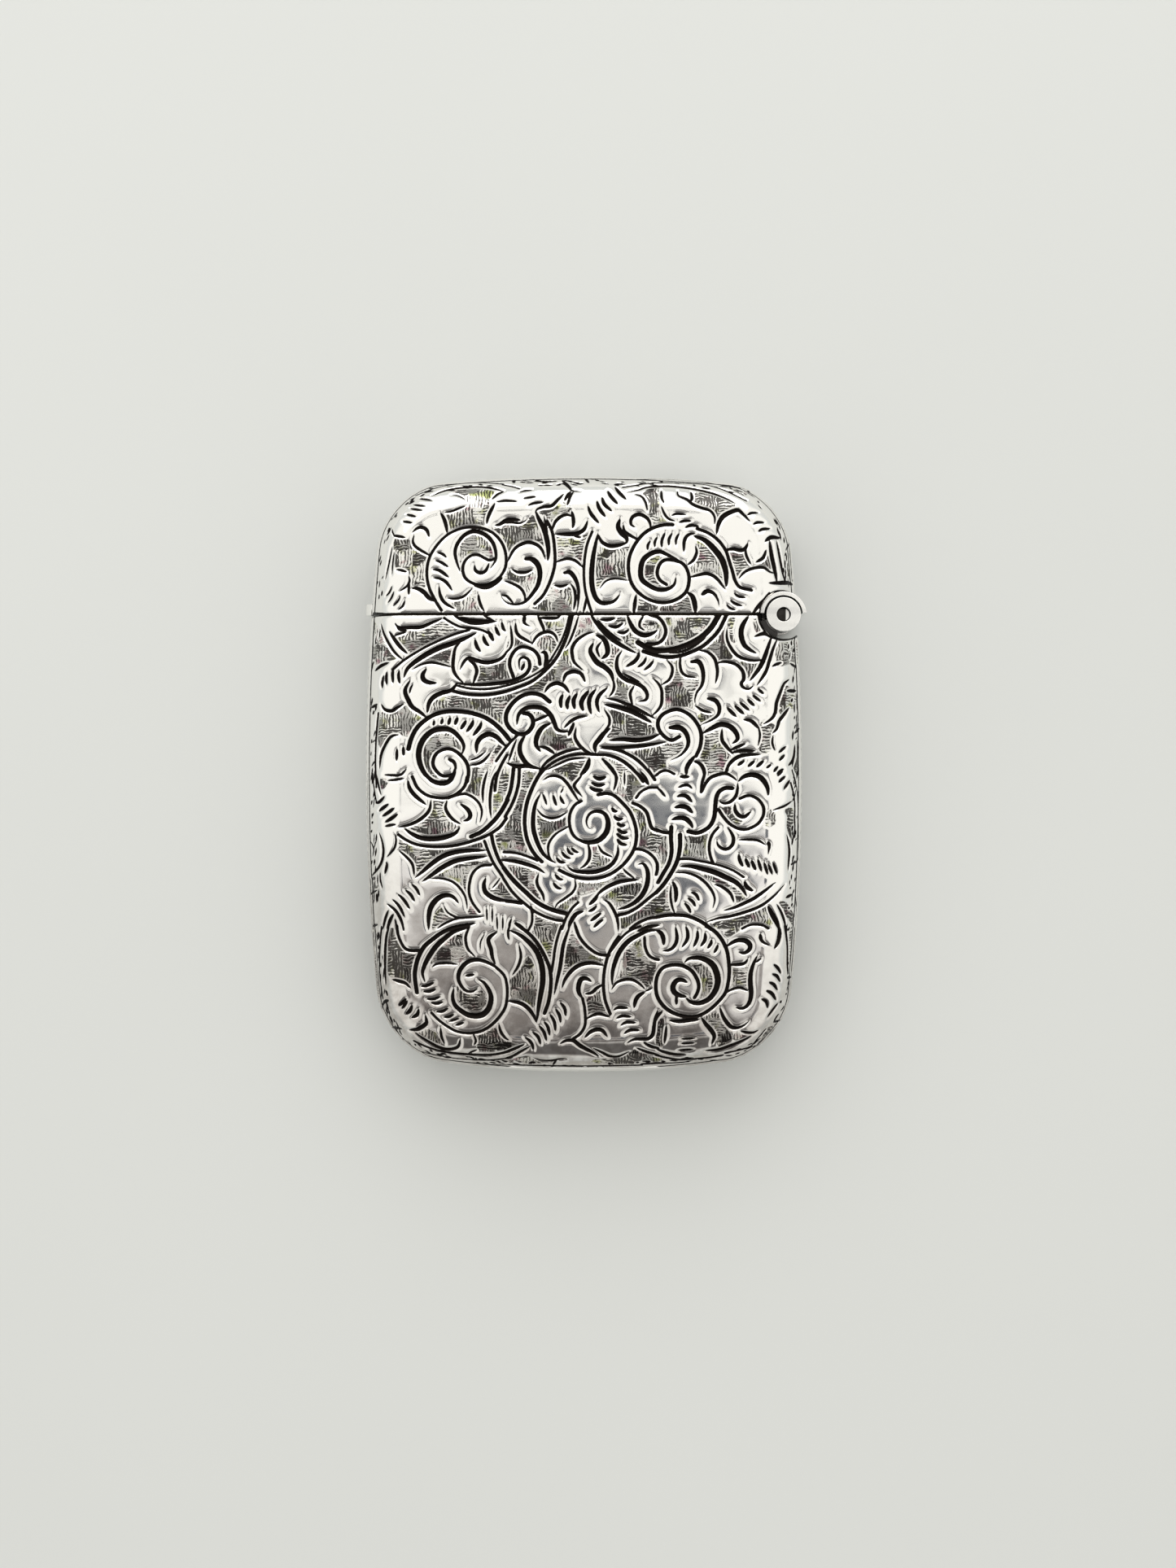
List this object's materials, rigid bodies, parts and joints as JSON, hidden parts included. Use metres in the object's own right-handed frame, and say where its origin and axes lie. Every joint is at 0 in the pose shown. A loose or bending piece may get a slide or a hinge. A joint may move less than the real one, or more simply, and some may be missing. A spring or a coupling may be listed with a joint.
{
  "type": "vesta case",
  "caption": "Flat cushion-shaped metal pocket case with a side-hinged sprung lid, engraved all over, and a ribbed strip let into its base.",
  "frame": {"origin": "middle of the back face, under the middle of the outline, with the case lying on its back", "axes": "+X across the width towards the hinge, +Y up the height towards the lid, +Z out of the front face"},
  "size_m": [0.0345, 0.047, 0.009],
  "materials": {
    "engraved_silver": "gloss",
    "plain_silver": "gloss",
    "rubbed_silver": "satin",
    "spring_steel": "satin"
  },
  "bodies": {
    "case_body": {"body_front_shell": "engraved_silver", "body_back_shell": "engraved_silver", "base_frame": "plain_silver", "striker_strip": "rubbed_silver", "mouth_bezel": "plain_silver", "hinge_gutter": "plain_silver", "body_knuckle_front": "plain_silver", "body_knuckle_back": "plain_silver", "hinge_pin": "plain_silver", "hinge_spring": "spring_steel", "spring_seat": "plain_silver", "spring_rivet_lower": "plain_silver", "spring_rivet_upper": "plain_silver"},
    "lid": {"lid_front_shell": "engraved_silver", "lid_back_shell": "engraved_silver", "lid_hinge_strap": "plain_silver", "lid_knuckle": "plain_silver", "thumb_lip": "plain_silver"}
  },
  "joints": [
    {"name": "lid_hinge", "type": "hinge", "parent": "case_body", "child": "lid", "pos_m": [0.0155, 0.0124, 0.0045], "axis": [0, 0, -1], "range_deg": [0, 94], "deforming": ["hinge_spring"]}
  ]
}
